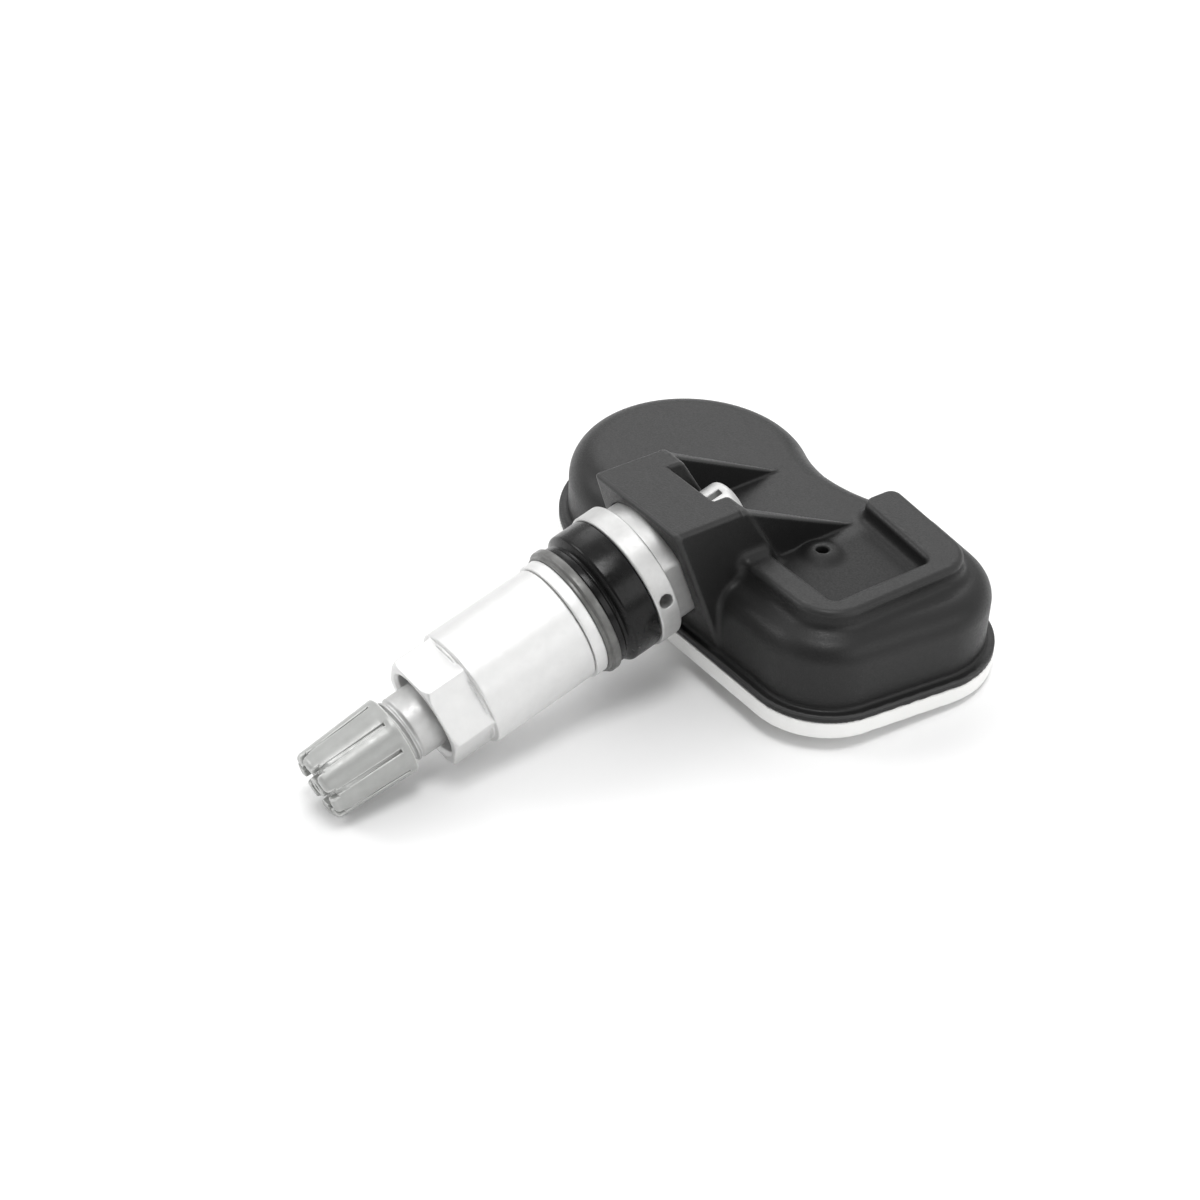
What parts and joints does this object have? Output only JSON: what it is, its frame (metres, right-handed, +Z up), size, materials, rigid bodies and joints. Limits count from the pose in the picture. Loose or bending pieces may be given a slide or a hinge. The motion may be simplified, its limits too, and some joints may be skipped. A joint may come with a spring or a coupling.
{
  "type": "tyre pressure sensor",
  "caption": "Wheel-mounted tyre pressure sensor: a black moulded case with a pale base plate on a pitched metal clamp-in valve with rubber grommet, hex sleeve nut and grey dust cap.",
  "frame": {"origin": "on the valve's axis, at the face of the collar that the rubber grommet seats on; the part lies on the tip of its cap and the back edge of its base plate, about 13 mm below the origin", "axes": "+X along the case towards its squared antenna end, +Y from the valve towards the back of the case, +Z up from the surface it lies on; the valve points along -Y and 13 degrees down"},
  "size_m": [0.0612, 0.0808, 0.0228],
  "materials": {
    "upper_case": "fine satin grain, black",
    "base_plate": "smooth off-white",
    "valve_stem": "satin, turned",
    "rim_grommet": "smooth black rubber",
    "grommet_ring": "grey, slightly mottled",
    "thrust_washer": "satin",
    "clamp_nut": "bright satin",
    "dust_cap": "mid-grey, smooth",
    "cap_gasket": "black",
    "core_body": "turned",
    "core_seal": "black",
    "core_pin": "turned",
    "core_poppet": "black",
    "core_spring": "wire",
    "circuit_board": "green solder mask",
    "battery_cell": "bright metal can",
    "battery_tab_top": "thin strip",
    "battery_tab_bottom": "thin strip",
    "pressure_sensor": "moulded package",
    "port_seal": "soft grey-black",
    "ferrite_core": "dark sintered ferrite",
    "ferrite_coil": "enamelled copper wire",
    "controller_chip": "moulded package",
    "crystal": "metal can",
    "capacitors": "ceramic",
    "antenna_loop": "copper strip"
  },
  "bodies": {
    "sensor_body": {"upper_case": "upper_case", "base_plate": "base_plate", "valve_stem": "valve_stem", "rim_grommet": "rim_grommet", "grommet_ring": "grommet_ring", "core_body": "core_body", "core_seal": "core_seal", "core_spring": "core_spring", "circuit_board": "circuit_board", "battery_cell": "battery_cell", "battery_tab_top": "battery_tab_top", "battery_tab_bottom": "battery_tab_bottom", "pressure_sensor": "pressure_sensor", "port_seal": "port_seal", "ferrite_core": "ferrite_core", "ferrite_coil": "ferrite_coil", "controller_chip": "controller_chip", "crystal": "crystal", "capacitors": "capacitors", "antenna_loop": "antenna_loop"},
    "nut_slide": {"thrust_washer": "thrust_washer"},
    "nut": {"clamp_nut": "clamp_nut"},
    "cap_slide": {"cap_gasket": "cap_gasket"},
    "cap": {"dust_cap": "dust_cap"},
    "core_plunger": {"core_pin": "core_pin", "core_poppet": "core_poppet"}
  },
  "joints": [
    {"name": "nut_travel", "type": "slide", "parent": "sensor_body", "child": "nut_slide", "axis": [0, -0.9744, -0.2249], "range_m": [0, 0.005]},
    {"name": "nut_spin", "type": "hinge", "parent": "nut_slide", "child": "nut", "pos_m": [0, 0, 0], "axis": [0, -0.9744, -0.2249], "range_deg": [0, 1800]},
    {"name": "cap_travel", "type": "slide", "parent": "sensor_body", "child": "cap_slide", "axis": [0, -0.9744, -0.2249], "range_m": [0, 0.00794]},
    {"name": "cap_spin", "type": "hinge", "parent": "cap_slide", "child": "cap", "pos_m": [0, 0, 0], "axis": [0, -0.9744, -0.2249], "range_deg": [0, 3600]},
    {"name": "core_press", "type": "slide", "parent": "sensor_body", "child": "core_plunger", "axis": [0, 0.9744, 0.2249], "range_m": [0, 0.0008], "stiffness_N_per_m": 400, "springref_m": -0.002, "deforming": ["core_spring"]}
  ],
  "couplings": [
    {"joint": "nut_spin", "follows": "nut_travel", "rad_per_m": 6283.2},
    {"joint": "cap_spin", "follows": "cap_travel", "rad_per_m": 7913.3}
  ]
}
